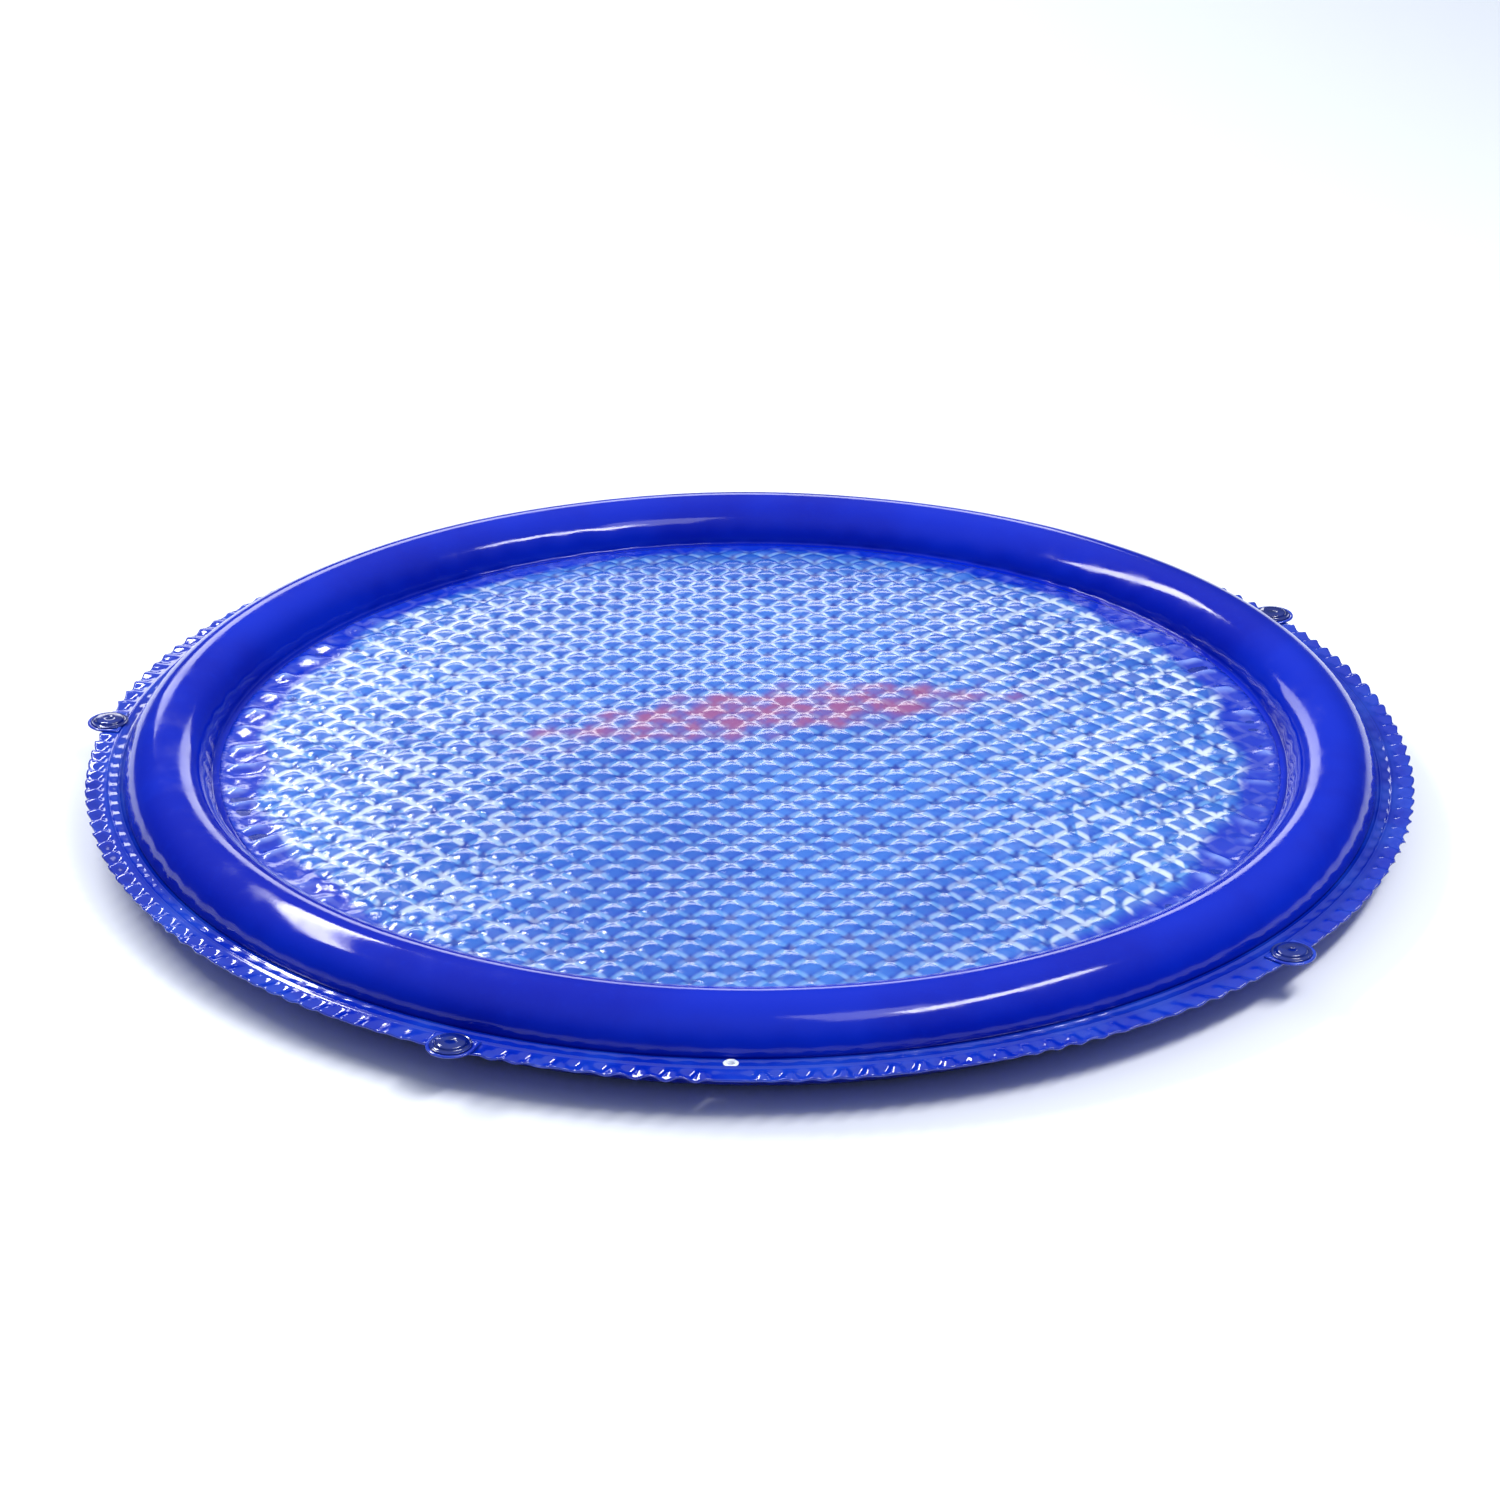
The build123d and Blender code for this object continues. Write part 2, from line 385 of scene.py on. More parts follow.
def line_distances(tree, offsets):
    """How far a point is from the nearer and from the further of its two weld lines, in cells."""
    first, second = [
        arithmetic(tree, "SUBTRACT", 0.5, arithmetic(tree, "ABSOLUTE", offset)) for offset in offsets
    ]
    return arithmetic(tree, "MINIMUM", first, second), arithmetic(tree, "MAXIMUM", first, second)


def painted_light_share(tree, offsets, middle):
    """How strongly painted light falls on a cell's slope that faces the lamps, from 0 to 1."""
    facing = times(
        tree,
        spread(tree, offsets[0], -0.5, -0.12, 1.0, 0.0),
        spread(tree, offsets[1], -0.1, 0.5, 0.2, 1.0),
    )
    return times(tree, facing, spread(tree, middle, 0.35, 0.6, 0.35, 1.0))


def painted_glint_share(tree, nearest, painted_lit):
    """Painted highlight: broken white glint streaks beside the weld lines, strongest at the ring's left and right.
    """
    across = axis_parts(tree, place_of(tree))[0]
    side = spread(tree, arithmetic(tree, "ABSOLUTE", across), 0.1, 0.5, 0.12, 1.0)
    streaks = arithmetic(
        tree,
        "MAXIMUM",
        strokes(tree, (1.5, 0.7), 1.0, 0.46, 0.6),
        strokes(tree, (0.7, 1.4), 1.1, 0.5, 0.64),
    )
    near_line = spread(tree, nearest, 0.06, 0.2, 1.0, 0.1)
    on_slope = spread(tree, painted_lit, 0.35, 0.8, 0.0, 0.9)
    shown = arithmetic(tree, "MAXIMUM", near_line, on_slope)
    return times(tree, streaks, times(tree, side, shown))


def quilted_film(name):
    """Clear blue embossed film: pale weld lines partly painted highlight, painted streaky glints, painted light
    and shade on the cells, painted shade at the crossings, a faded coral print, a folded border with painted
    highlights on its fold crests.

    The mesh's marks hold the print, the folds and the border, each from 0 to 1.
    """
    material, tree, shader = node_material(name)
    offsets = cell_offsets(tree)
    nearest, furthest = line_distances(tree, offsets)
    marks = tree.nodes.new("ShaderNodeAttribute")
    marks.attribute_name = "marks"
    printed, fold, border = axis_parts(tree, marks.outputs["Vector"])
    fine = noise(tree, 140.0, 4.0, 0.6)
    middle = noise(tree, 32.0, 3.0, 0.55)

    clouds = spread(tree, noise(tree, 4.0), 0.35, 0.65, 0.0, 1.0)
    tone = mix_colour(tree, clouds, FILM_BLUE, FILM_PALE)
    tone = mix_colour(tree, spread(tree, middle, 0.42, 0.68, 0.0, 0.55), tone, FILM_DEEP)
    # Painted light on the cells' slopes that face the lamps, then painted shade on their far slopes.
    painted_lit = painted_light_share(tree, offsets, middle)
    tone = mix_colour(tree, times(tree, painted_lit, 0.5), tone, CELL_PAINTED_LIGHT)
    painted_shade = spread(tree, offsets[0], 0.16, 0.46, 0.0, 0.6)
    painted_shade = times(tree, painted_shade, spread(tree, fine, 0.35, 0.6, 0.5, 1.0))
    tone = mix_colour(tree, painted_shade, tone, CELL_PAINTED_SHADE)
    # Pale weld lines, partly the weld's own colour and partly painted highlight.
    line = spread(tree, nearest, 0.03, 0.17, 0.6, 0.0)
    line = times(tree, line, spread(tree, middle, 0.3, 0.6, 0.45, 1.0))
    tone = mix_colour(tree, line, tone, WELD_PALE_AND_HIGHLIGHT)
    # Painted shade in the dips where the weld lines cross.
    crossing = spread(tree, furthest, 0.12, 0.3, 0.95, 0.0)
    crossing = times(tree, crossing, spread(tree, middle, 0.35, 0.6, 1.0, 0.6))
    tone = mix_colour(tree, crossing, tone, CROSSING_SHADE)
    # Painted highlight: white glint streaks.
    glints = times(tree, painted_glint_share(tree, nearest, painted_lit), 0.92)
    tone = mix_colour(tree, glints, tone, PAINTED_GLINT_WHITE)

    faded = times(tree, printed, spread(tree, middle, 0.36, 0.6, 0.35, 0.88))
    tone = mix_colour(tree, faded, tone, PRINT_CORAL)
    # The border's own deep blue, with painted highlight on its fold crests.
    bordered = mix_colour(tree, spread(tree, fold, 0.5, 1.0, 0.0, 0.7), BORDER_BLUE, FOLD_CREST_HIGHLIGHT)
    tone = mix_colour(tree, times(tree, border, 0.92), tone, bordered)
    put(tree, shader.inputs["Base Color"], tone)
    put(tree, shader.inputs["Roughness"], spread(tree, fine, 0.3, 0.7, 0.08, 0.22))
    shader.inputs["IOR"].default_value = 1.52
    shader.inputs["Coat Weight"].default_value = 0.15
    shader.inputs["Coat Roughness"].default_value = 0.06
    crumple = arithmetic(tree, "ADD", fine, times(tree, middle, 2.0))
    add_bump(tree, shader, crumple, 0.3, 0.0014)
    return material


def soft_plastic(name, colour, light, roughness=(0.22, 0.4)):
    """Moulded soft plastic, a little cloudy and light at its thin edges."""
    material, tree, shader = node_material(name)
    clouds = spread(tree, noise(tree, 60.0, 4.0), 0.35, 0.7, 0.0, 1.0)
    put(tree, shader.inputs["Base Color"], mix_colour(tree, clouds, colour, light))
    grain = noise(tree, 700.0, 3.0, 0.6)
    put(tree, shader.inputs["Roughness"], spread(tree, grain, 0.3, 0.7, *roughness))
    shader.inputs["Subsurface Weight"].default_value = 0.25
    shader.inputs["Subsurface Radius"].default_value = (0.002, 0.003, 0.005)
    shader.inputs["Coat Weight"].default_value = 0.2
    add_bump(tree, shader, grain, 0.15, 0.0002)
    return material


def ferrite(name):
    """Dark sintered ferrite with a fine grain."""
    material, tree, shader = node_material(name)
    grain = noise(tree, 500.0, 6.0, 0.7)
    pale = spread(tree, grain, 0.35, 0.7, 0.0, 1.0)
    tone = mix_colour(tree, pale, (0.02, 0.02, 0.022), (0.07, 0.07, 0.075))
    put(tree, shader.inputs["Base Color"], tone)
    put(tree, shader.inputs["Roughness"], spread(tree, grain, 0.3, 0.7, 0.45, 0.7))
    add_bump(tree, shader, grain, 0.4, 0.0003)
    return material


rim_vinyl = vinyl("rim_vinyl", (0.0, 0.007, 0.32), (0.0, 0.015, 0.42), gloss=0.25)
hem_vinyl = vinyl("hem_vinyl", (0.0, 0.014, 0.34), (0.006, 0.04, 0.42), coat=0.2, cloud_size=14.0)
tab_vinyl = vinyl("tab_vinyl", (0.002, 0.016, 0.34), (0.012, 0.05, 0.46), coat=0.3, cloud_size=30.0)
cover_vinyl = vinyl("cover_vinyl", (0.0, 0.006, 0.12), (0.002, 0.016, 0.2), coat=0.4, cloud_size=40.0)
absorber_vinyl = vinyl("absorber_vinyl", (0.0, 0.012, 0.2), (0.004, 0.03, 0.32), roughness=(0.2, 0.4))
pocket_vinyl = vinyl("pocket_vinyl", (0.002, 0.02, 0.3), (0.01, 0.05, 0.42), roughness=(0.15, 0.35))
quilt_vinyl = quilted_film("quilt_vinyl")
valve_plastic = soft_plastic("valve_plastic", (0.42, 0.56, 0.82), (0.6, 0.72, 0.9))
eyelet_plastic = soft_plastic("eyelet_plastic", (0.7, 0.75, 0.85), (0.86, 0.89, 0.95))
flap_rubber = soft_plastic("flap_rubber", (0.4, 0.48, 0.6), (0.55, 0.62, 0.72), roughness=(0.4, 0.6))
magnet_ferrite = ferrite("magnet_ferrite")


# ---- Valve places, from their joints and collars ----
def valve_frame(prefix):
    """The middle of a valve's collar on the skin's face, with U, V and the outward axis W."""
    axis = Vector(joints[f"{prefix}_stem_slide"]["axis"]).normalized()
    low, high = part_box(f"{prefix}_valve_collar")
    middle = (low + high) / 2 + axis * (COLLAR_DEPTH - COLLAR_HEIGHT) / 2
    across = axis.cross(Vector((0.3, 0.5, 0.2))).normalized()
    return middle, across, axis.cross(across), axis


RIM_VALVE = valve_frame("rim")
CHAMBER_VALVE = valve_frame("chamber")


# ---- Rim tube: an upper and a lower skin, uneven and puckered at their seams ----
def tube_skin(name, side):
    """One skin of the tube with its half of the inner flange. side is 1 above the seam, -1 below."""
    angles = np.arange(TUBE_STEPS) * tau / TUBE_STEPS
    start = np.arcsin(FILM / TUBE)
    rows = []
    for turn in np.linspace(start, pi - start, TUBE_TURNS):
        at_outer = smooth_step(radians(40), radians(8), turn)
        at_inner = smooth_step(radians(140), radians(172), turn)
        loose = smooth_step(start, start + radians(9), turn)
        loose = loose * smooth_step(pi - start, pi - start - radians(6), turn)
        swell = 0.0009 * swells(angles, 0.4 + side) * sin(turn)
        outer = 0.0006 * at_outer * puckers(angles, 104, 1.3 * side)
        inner = 0.001 * at_inner * puckers(angles, 78, 2.1 * side)
        reach = TUBE + loose * (swell + outer + inner)
        rows.append((RIM + reach * cos(turn), reach * sin(turn)))
    rows += [(RIM - TUBE - 0.002, FILM), (FILM_EDGE + 0.001, FILM)]
    rows += [(FILM_EDGE, 0.6 * FILM), (FILM_EDGE, 0.0)]
    inside = TUBE - FILM
    for turn in np.linspace(pi, np.arcsin(FILM / inside), 13):
        rows.append((RIM + inside * cos(turn), inside * sin(turn)))
    radii = np.array([np.broadcast_to(radius, angles.shape) for radius, _ in rows])
    lifts = np.array([np.broadcast_to(lift, angles.shape) for _, lift in rows])
    heights = SEAM + side * np.maximum(lifts, 0.0)
    if side < 0:
        heights = np.maximum(heights, 0.0)
        radii, heights = radii[::-1], heights[::-1]
    return ring_solid(name, radii, heights)


upper_skin = tube_skin("rim_skin_upper", 1)
drill(upper_skin, RIM_VALVE[0], RIM_VALVE[3], COLLAR, 2 * COLLAR_DEPTH)
finish_piece(upper_skin, rim_vinyl, ["rim_tube_upper"])
lower_skin = tube_skin("rim_skin_lower", -1)
finish_piece(lower_skin, rim_vinyl, ["rim_tube_lower"])


# ---- Lens film: quilted, with wrinkles where it is welded to the inner flange ----
def lens_height(radius):
    """The crowned height of the film's top, away from its quilting."""
    return SEAM + FILM + LENS_RISE * (1 - np.minimum(radius / FILM_EDGE, 1.0) ** 2)


def print_share(x, y):
    """How strongly a plain ragged coral band, faded at its edge, colours the film at a place."""
    right, back = x - PRINT_CENTRE[0], y - PRINT_CENTRE[1]
    along = right * cos(PRINT_TILT) + back * sin(PRINT_TILT)
    across = back * cos(PRINT_TILT) - right * sin(PRINT_TILT)
    ragged = 0.35 * np.sin(61 * x + 37 * y) * np.sin(83 * y - 49 * x + 1.0)
    out = np.hypot(along / PRINT_SIZE[0], across / PRINT_SIZE[1]) + ragged
    return smooth_step(1.35, 0.5, out)


def quilt_grid(edge):
    """Points and faces of a disc on a grid along the weld lines, 45 degrees to the ring's axes."""
    spacing = CELL / CELL_STEPS
    reach = int(edge / spacing) + 2
    side = 2 * reach + 1
    steps = np.arange(-reach, reach + 1) * spacing
    p, q = [axis.ravel() for axis in np.meshgrid(steps, steps)]
    radius = np.hypot(p, q)
    corner = np.arange(side * side).reshape(side, side)
    faces = np.stack([corner[:-1, :-1], corner[:-1, 1:], corner[1:, 1:], corner[1:, :-1]], axis=-1)
    faces = faces.reshape(-1, 4)
    faces = faces[radius[faces].min(axis=1) < edge - 0.35 * spacing]
    used = np.unique(faces)
    place = np.zeros(side * side, dtype=int)
    place[used] = np.arange(len(used))
    p, q = p[used], q[used]
    pull = np.minimum(1.0, edge / np.maximum(np.hypot(p, q), spacing / 2))
    return p * pull, q * pull, place[faces]


def wrinkles(angle, radius, count, longest):
    """Uneven radial folds of a film near its weld: ridges and valleys, longest at the sides."""
    total = np.zeros_like(angle)
    for number in range(count):
        middle = (number + random.uniform(-0.35, 0.35)) * tau / count
        width = random.uniform(0.007, 0.014)
        strength = (0.35 + 0.65 * side_share(middle)) * random.uniform(0.4, 1.0)
        length = longest * random.uniform(0.35, 1.0) * (0.5 + 0.5 * side_share(middle))
        across = turn_apart(angle, middle + random.uniform(-0.3, 0.3) * (FILM_EDGE - radius)) * radius
        depth = (FILM_EDGE - radius) / length
        window = smooth_step(0.0, 0.12, depth) * smooth_step(1.0, 0.3, depth)
        fold = bell(across, 0.0, width) - 0.6 * bell(across, 1.9 * width, width)
        total += strength * window * fold
    return total


def cell_random(p, q, seed):
    """A number from -1 to 1 that is the same all over a cell and differs from cell to cell."""
    raw = np.sin(np.floor(p / CELL) * (12.9 + seed) + np.floor(q / CELL) * (78.2 - seed)) * 437.5
    return 2 * (raw - np.floor(raw)) - 1


def quilting(p, q, radius, angle):
    """How far the film's pillows and weld ridges stand up. p and q run across the weld lines."""
    arch_p, arch_q = np.abs(np.sin(pi * p / CELL)), np.abs(np.sin(pi * q / CELL))
    line_p, line_q = np.abs(np.cos(pi * p / CELL)), np.abs(np.cos(pi * q / CELL))
    uneven = smooth_step(0.1, 0.5, radius) * (0.35 + 0.65 * side_share(angle))
    swollen = 1 + 0.3 * cell_random(p, q, 0.0) * uneven
    tilt_p, tilt_q = cell_random(p, q, 1.7) * uneven, cell_random(p, q, 3.1) * uneven
    across_p, across_q = (p / CELL) % 1.0 - 0.5, (q / CELL) % 1.0 - 0.5
    tilted = swollen + 0.9 * (tilt_p * across_p + tilt_q * across_q)
    pillow = PILLOW * (arch_p * arch_q) ** 0.6 * tilted
    raised = np.maximum(np.cos(pi * p / CELL) * line_p, np.cos(pi * q / CELL) * line_q)
    every_other = 0.75 + 0.25 * raised
    ridge = WELD_RIDGE * every_other * np.maximum(line_p**12, line_q**12)
    crossing = CROSSING_DIP * (line_p * line_q) ** 8
    return pillow + ridge - crossing


def quilted_film_top():
    """The lens film's top: its points, its faces and the marks that its material reads."""
    p, q, faces = quilt_grid(FILM_EDGE + WELD_LAP)
    x, y = (p + q) / sqrt(2), (q - p) / sqrt(2)
    radius, angle = np.hypot(x, y), np.arctan2(y, x)
    quilt_end = FILM_EDGE - 0.012 - 0.016 * side_share(angle)
    inside = smooth_step(quilt_end, quilt_end - 0.02, radius + 0.006 * np.sin(23 * angle))
    slack = 0.0016 * np.sin(9.0 * x + 1.0) * np.sin(11.0 * y + 0.4)
    slack = slack + 0.0009 * np.sin(31.0 * x - 23.0 * y)
    creases = wrinkles(angle, radius, 74, 0.075)
    folds = LENS_FOLD * creases
    free = smooth_step(FILM_EDGE, FILM_EDGE - 0.012, radius)
    lap = 0.0005 * smooth_step(FILM_EDGE - 0.004, FILM_EDGE, radius)
    heights = lens_height(radius) + inside * quilting(p, q, radius, angle) + free * (slack + folds) + lap
    sway = 1 + 0.5 * np.sin(17 * angle) * np.sin(5 * angle + 1.0)
    width = 0.012 + 0.026 * side_share(angle) * sway
    border = smooth_step(FILM_EDGE - width - 0.012, FILM_EDGE - width + 0.004, radius + 0.6 * folds)
    marks = np.stack([print_share(x, y), 0.5 + 0.45 * creases, border], axis=-1)
    return np.stack([x, y, heights], axis=-1), faces, marks


lens_points, lens_faces, lens_marks = quilted_film_top()
lens = closed_sheet("lens_quilt", lens_points, lens_faces, 0.5 * FILM)
marking = lens.data.attributes.new("marks", "FLOAT_VECTOR", "POINT")
marking.data.foreach_set("vector", np.tile(lens_marks, (2, 1)).astype(np.float32).ravel())
finish_piece(lens, quilt_vinyl, ["lens_film"])


# ---- Absorber film under the lens film ----
def absorber_bottom(radius):
    """The height of the absorber film's underside."""
    return SEAM - FILM - ABSORBER_SAG * (1 - np.minimum(radius / FILM_EDGE, 1.0) ** 2)


def plain_disc(edge, spacing):
    """Places and faces of a round sheet on a polar grid, and its steps round. Its middle is open."""
    loops = int(edge / spacing)
    steps = int(tau * edge / spacing / 1.5)
    radii = np.linspace(edge / loops, edge, loops)
    angles = np.arange(steps) * tau / steps
    x = np.concatenate([[0.0], np.outer(radii, np.cos(angles)).ravel()])
    y = np.concatenate([[0.0], np.outer(radii, np.sin(angles)).ravel()])
    return x, y, loop_faces(loops, steps, closed=False) + 1, steps


def disc_sheet(name, x, y, heights, faces, steps, thickness):
    """A closed round sheet from what plain_disc gives, with a fan of triangles at its middle."""
    count = len(x)
    top = np.stack([x, y, heights], axis=-1)
    below = top - np.array([0.0, 0.0, thickness])
    fan = [(0, 1 + j, 1 + (j + 1) % steps) for j in range(steps)]
    outward = [tuple(face[::-1]) for face in faces]
    upper = fan + outward
    lower = [tuple(corner + count for corner in reversed(face)) for face in upper]
    last = count - steps
    sides = []
    for j in range(steps):
        here, after = last + j, last + (j + 1) % steps
        sides.append((here, here + count, after + count, after))
    return make_object(name, np.vstack([top, below]), upper + lower + sides)


def absorber_sheet():
    """The absorber film, folded where it is welded to the inner flange."""
    x, y, faces, steps = plain_disc(FILM_EDGE, ABSORBER_SPACING)
    radius, angle = np.hypot(x, y), np.arctan2(y, x)
    free = smooth_step(FILM_EDGE, FILM_EDGE - 0.02, radius)
    folds = 0.004 * wrinkles(angle, radius, 60, 0.08)
    slack = 0.0012 * np.sin(13 * x) * np.sin(10 * y + 1.0)
    heights = absorber_bottom(radius) + FILM + free * (slack + folds)
    return disc_sheet("absorber_sheet", x, y, heights, faces, steps, FILM)


absorber = absorber_sheet()
drill(absorber, CHAMBER_VALVE[0], CHAMBER_VALVE[3], COLLAR, COLLAR_DEPTH)
finish_piece(absorber, absorber_vinyl, ["absorber_film"])


# ---- Water anchor pockets: pouches welded round their edge under the absorber film ----
def anchor_pocket(number):
    """A pouch with two weld beads at its edge, soft folds and three fill holes."""
    turn = radians(45 + 90 * number)
    centre_x, centre_y = POCKET_CENTRE * cos(turn), POCKET_CENTRE * sin(turn)
    x, y, faces, steps = plain_disc(POCKET, POCKET_SPACING)
    radius, angle = np.hypot(x, y), np.arctan2(y, x)
    x, y = x + centre_x, y + centre_y
    weld = bell(radius, POCKET - 0.006, 0.0016) + bell(radius, POCKET - 0.002, 0.0012)
    free = smooth_step(POCKET - 0.008, POCKET - 0.02, radius) * smooth_step(0.0, 0.05, radius)
    folds = 0.0011 * free * puckers(angle, 22, 1.0 + number)
    heights = absorber_bottom(np.hypot(x, y)) - 0.0002 - folds - 0.0004 * weld
    pocket = disc_sheet(f"anchor_pouch_{number + 1}", x, y, heights, faces, steps, 0.6 * FILM)
    for hole in range(3):
        spot = turn + hole * tau / 3
        hole_x = centre_x + FILL_HOLE_CIRCLE * cos(spot)
        hole_y = centre_y + FILL_HOLE_CIRCLE * sin(spot)
        drill(pocket, (hole_x, hole_y, absorber_low.z), (0, 0, 1), FILL_HOLE, 0.03)
    finish_piece(pocket, pocket_vinyl, [f"anchor_pocket_{number + 1}"])


for number in range(4):
    anchor_pocket(number)


# ---- Skirt hem: two weld beads beside the tube, then a band of puckers with a scalloped edge ----
def hem_calm(angles):
    """1 where the hem is puckered, less beside the eyelet and under the tabs."""
    eyelet_turn = atan2(EYELET.y, EYELET.x)
    calm = smooth_step(radians(0.8), radians(2.4), turn_apart(angles, eyelet_turn))
    for top in TAB_TOPS:
        beside = turn_apart(angles, atan2(top.y, top.x))
        calm = calm * (0.15 + 0.85 * smooth_step(radians(1.8), radians(3.2), beside))
    return calm


def hem_radii():
    """The radii of the hem's loops: close together over the weld beads, then even to its edge."""
    first, second = HEM_BEADS
    return np.concatenate([
        [HEM_ROOT, first - 0.004],
        first + 0.001 * np.arange(-2, 3),
        [first + 0.004, (first + second) / 2 + 0.001, second - 0.003],
        second + 0.001 * np.array([-1.5, -0.5, 0.5, 1.5]),
        np.linspace(HEM_FREE, HEM, 11),
    ])


def hem_band():
    """The hem as a closed solid round the ring."""
    angles = np.arange(HEM_STEPS) * tau / HEM_STEPS
    calm = hem_calm(angles)
    lively = 0.7 + 0.3 * side_share(angles) + 0.2 * np.sin(4 * angles + 0.6)
    fold = puckers(angles, HEM_PUCKERS, 1.9)
    ripple = puckers(angles, HEM_PUCKERS, 2.6)
    rows = []
    for radius in hem_radii():
        beads = BEAD_HEIGHT * sum(bell(radius, bead, BEAD_WIDTH) for bead in HEM_BEADS)
        share = max(0.0, (radius - HEM_FREE) / (HEM - HEM_FREE))
        swing = smooth_step(0.1, 0.5, share)
        reach = radius - share**3 * 0.0012 + 0.0026 * share**2 * calm * fold
        dimple = 0.0042 * calm * lively * sin(pi * share) ** 1.2 * fold * swing
        flutter = 0.0032 * calm * lively * share**2 * ripple
        between = 0.0009 * calm * bell(radius, sum(HEM_BEADS) / 2, 0.004) * fold
        middle = SEAM + dimple + flutter - between
        half = 0.0011 + 0.0007 * (1 - smooth_step(0.0, 0.6, share))
        rows.append((reach + 0 * angles, middle + half + beads, middle - half - 0.5 * beads))
    top = [(reach, upper) for reach, upper, _ in rows]
    below = [(reach, lower) for reach, _, lower in reversed(rows)]
    section = (top + below)[::-1]
    radii = np.array([reach for reach, _ in section])
    return ring_solid("hem_band", radii, np.array([height for _, height in section]))


hem = hem_band()
drill(hem, EYELET, (0, 0, 1), EYELET_HOLE + 0.0014, 0.01)
finish_piece(hem, hem_vinyl, ["skirt_hem"])


# ---- Magnet tabs: a film tongue with a weld bead round it, and a domed cover over the magnet ----
def tab_outline(inset, steps=24):
    """The tongue's outline from its inner corners round its end, in metres from the ring's axis."""
    end = TAB_END - inset
    centre = axis_distance(TAB_TOPS[0])
    turns = np.linspace(-pi / 2, pi / 2, steps)
    bend = [(centre + end * cos(turn), end * sin(turn)) for turn in turns]
    return [(TAB_INNER + inset, -end), *bend, (TAB_INNER + inset, end)]


def magnet_tab(number, top):
    """A film tongue with a raised weld bead just inside its edge."""
    lifts = (
        (0.0, 0.0), (0.0, 0.55 * FILM), (0.0006, FILM),
        (0.0022, 1.15 * FILM), (0.0036, 0.75 * FILM), (0.006, 0.7 * FILM),
    )
    loops = [[(x, y, lift) for x, y in tab_outline(inset)] for inset, lift in lifts]
    steps = len(loops[0])
    points = [point for loop in loops for point in loop]
    faces = [tuple(face) for face in loop_faces(len(loops), steps, closed=False)]
    faces.append(tuple(range((len(loops) - 1) * steps, len(loops) * steps)))
    faces.append(tuple(reversed(range(steps))))
    tab = make_object(f"tab_tongue_{number}", points, faces)
    turn = Matrix.Rotation(atan2(top.y, top.x), 4, "Z")
    tab.data.transform(Matrix.Translation((0, 0, TAB_BOTTOM)) @ turn)
    finish_piece(tab, tab_vinyl, [f"magnet_tab_{number}"])


def magnet_cover(number, top):
    """A round-edged cup over the magnet with a brim that is welded to the tongue."""
    rise = top.z - MAGNET_BOTTOM
    profile = [
        (0.0002, rise), (0.008, rise), (COVER_OUTER - 0.0022, rise - 0.0001),
        (COVER_OUTER - 0.0008, rise - 0.0006), (COVER_OUTER - 0.0001, rise - 0.0018),
        (COVER_OUTER, 0.0022), (COVER_OUTER + 0.0012, 0.001),
        (COVER_OUTER + 0.003, 0.0006), (COVER_BRIM - 0.002, 0.0007), (COVER_BRIM - 0.001, 0.0013),
        (COVER_BRIM - 0.0002, 0.0008), (COVER_BRIM, 0.0), (COVER_OUTER - 0.0012, 0.0),
        (COVER_OUTER - 0.0012, rise - 0.0012), (0.0002, rise - 0.0012),
    ]
    centre = (top.x, top.y, MAGNET_BOTTOM)
    cover = lathe(f"tab_cover_{number}", profile[::-1], centre)
    finish_piece(cover, cover_vinyl, [f"magnet_cover_{number}"])


for number, top in enumerate(TAB_TOPS, 1):
    magnet_tab(number, top)
    magnet_cover(number, top)

# ---- Tether eyelet: a rounded barrel and its washer ----
rise = FILM + EYELET_HEAD_HEIGHT
stem = EYELET_HOLE + 0.0015
barrel_profile = [
    (stem, -rise), (EYELET_HOLE + 0.0004, -rise), (EYELET_HOLE, -rise + 0.0005),
    (EYELET_HOLE, rise - 0.0008), (EYELET_HOLE + 0.0006, rise),
    (EYELET_HEAD - 0.0025, rise + 0.0002), (EYELET_HEAD - 0.0008, rise - 0.0001),
    (EYELET_HEAD, rise - 0.0006), (EYELET_HEAD, FILM), (stem, FILM),
]
barrel = lathe("eyelet_grommet", barrel_profile[::-1], EYELET)
finish_piece(barrel, eyelet_plastic, ["eyelet_barrel"])
washer_profile = [
    (stem, -rise), (stem, -FILM), (EYELET_HEAD, -FILM), (EYELET_HEAD, -rise + 0.0005),
    (EYELET_HEAD - 0.0008, -rise), (EYELET_HEAD - 0.002, -rise - 0.0001),
]
washer = lathe("eyelet_ring", washer_profile[::-1], EYELET)
finish_piece(washer, eyelet_plastic, ["eyelet_washer"])


# ---- Weld discs round the valves ----
def weld_disc(name, valve, on_skin, material):
    """A thin ring of film welded round a collar, following the skin that it lies on."""
    middle, across, up, _ = valve
    rings = (
        (0.012, 0.0), (0.011, 0.0009), (0.0095, 0.0014), (0.008, 0.0008),
        (0.0025, 0.0009), (0.001, 0.0013), (0.0, 0.0009), (0.0, 0.0),
    )
    points = []
    for step, lift in rings:
        radius = COLLAR + 0.0001 + step
        for turn in np.arange(WELD_STEPS) * tau / WELD_STEPS:
            point = middle + (across * cos(turn) + up * sin(turn)) * radius
            points.append(on_skin(point, lift + 0.0002 if lift else -0.0006))
    disc = make_object(name, points, loop_faces(len(rings), WELD_STEPS, closed=True))
    finish_piece(disc, material)


def on_tube(point, lift):
    """The nearest point of the tube's skin, raised off it."""
    hub = Vector((point.x, point.y, 0.0)).normalized() * RIM + Vector((0, 0, SEAM))
    return hub + (point - hub).normalized() * (TUBE + lift)


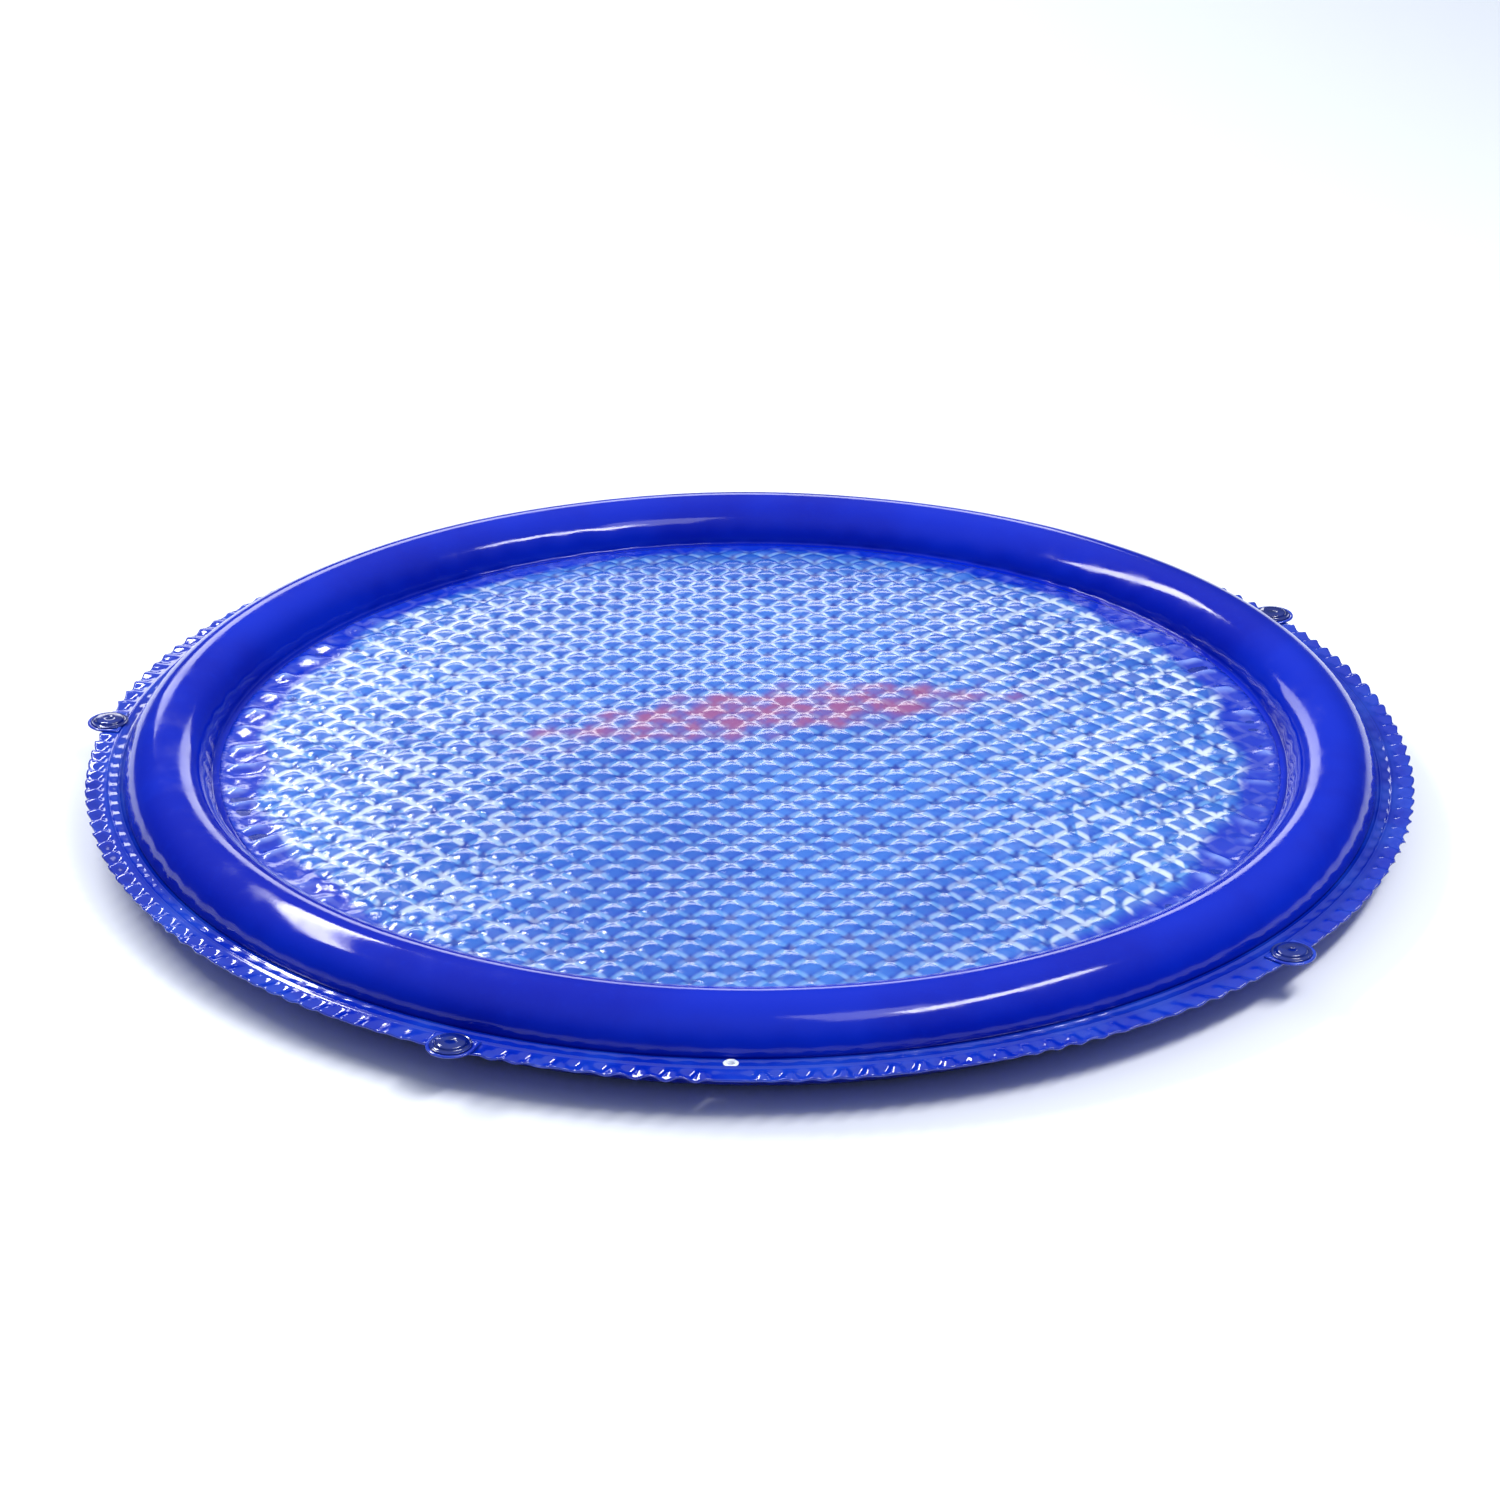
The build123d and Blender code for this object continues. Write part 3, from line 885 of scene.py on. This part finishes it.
def under_absorber(point, lift):
    """The point of the absorber's underside above or below a point, lowered off it."""
    return Vector((point.x, point.y, float(absorber_bottom(axis_distance(point))) - lift))


weld_disc("rim_valve_weld", RIM_VALVE, on_tube, hem_vinyl)
weld_disc("chamber_valve_weld", CHAMBER_VALVE, under_absorber, pocket_vinyl)

# ---- Finishes of the CAD pieces that stay ----
for name, node in frame["nodes"].items():
    if name.endswith("_valve_flap"):
        finish = flap_rubber
    elif "_valve_" in name:
        finish = valve_plastic
    elif name.removeprefix("magnet_").isdigit():
        finish = magnet_ferrite
    else:
        continue
    node.data.materials.clear()
    node.data.materials.append(finish)

# ---- Camera, light and floor ----
VIEW_ELEVATION = radians(25.5)
VIEW_DISTANCE = 4.65
FRAMED_WIDTH = 1.74
SENSOR_WIDTH = 36.0
FLOOR_REACH = 30.0
# Each light's name, direction, distance, width and height, and power.
LIGHTS = (
    ("left_high", (-0.56, 0.36, 0.74), 4.0, (3.2, 0.42), 130.0),
    ("right_high", (0.47, -0.29, 0.83), 4.0, (2.1, 0.4), 95.0),
    ("back_low", (-0.15, 0.95, 0.28), 5.0, (3.4, 0.9), 34.0),
    ("top", (0.3, -0.5, 1.0), 5.0, (1.5, 1.5), 35.0),
)


def make_camera():
    """A camera in front of the ring, aimed at its middle."""
    target = Vector((0.0, 0.0, SEAM))
    towards = Vector((0.0, -cos(VIEW_ELEVATION), sin(VIEW_ELEVATION)))
    data = bpy.data.cameras.new("camera")
    data.sensor_width = SENSOR_WIDTH
    data.lens = SENSOR_WIDTH * VIEW_DISTANCE / FRAMED_WIDTH
    camera = bpy.data.objects.new("camera", data)
    bpy.context.collection.objects.link(camera)
    camera.location = target + towards * VIEW_DISTANCE
    camera.rotation_euler = (-towards).to_track_quat("-Z", "Y").to_euler()
    bpy.context.scene.camera = camera


def area_light(name, towards, distance, size, power):
    """A soft white light in a direction from the ring, facing it. size is its width and height."""
    data = bpy.data.lights.new(name, "AREA")
    data.shape = "RECTANGLE"
    data.size, data.size_y = size
    data.energy = power
    light = bpy.data.objects.new(name, data)
    bpy.context.collection.objects.link(light)
    direction = Vector(towards).normalized()
    light.location = direction * distance
    light.rotation_euler = (-direction).to_track_quat("-Z", "Y").to_euler()


def make_floor():
    """A plain pale floor, much wider than any view."""
    signs = ((-1, -1), (1, -1), (1, 1), (-1, 1))
    corners = [(FLOOR_REACH * x, FLOOR_REACH * y, 0.0) for x, y in signs]
    floor = make_object("floor", corners, [(0, 1, 2, 3)])
    material, _, shader = node_material("floor")
    shader.inputs["Base Color"].default_value = (0.8, 0.82, 0.86, 1.0)
    shader.inputs["Roughness"].default_value = 0.8
    shader.inputs["Specular IOR Level"].default_value = 0.2
    floor.data.materials.append(material)


def make_world():
    """A soft room, dim near the horizon and bright overhead."""
    world = bpy.data.worlds.new("studio")
    bpy.context.scene.world = world
    world.use_nodes = True
    tree = world.node_tree
    background = tree.nodes["Background"]
    direction = tree.nodes.new("ShaderNodeTexCoord").outputs["Generated"]
    upwards = axis_parts(tree, direction)[2]
    overhead = spread(tree, upwards, 0.1, 1.0, 0.0, 1.0)
    put(tree, background.inputs["Color"], mix_colour(tree, overhead, (0.5, 0.65, 1.0), (0.85, 0.92, 1.0)))
    put(tree, background.inputs["Strength"], spread(tree, upwards, 0.15, 1.0, 0.18, 0.85))


make_camera()
make_world()
make_floor()
for light in LIGHTS:
    area_light(*light)
bpy.context.scene.view_settings.view_transform = "Standard"
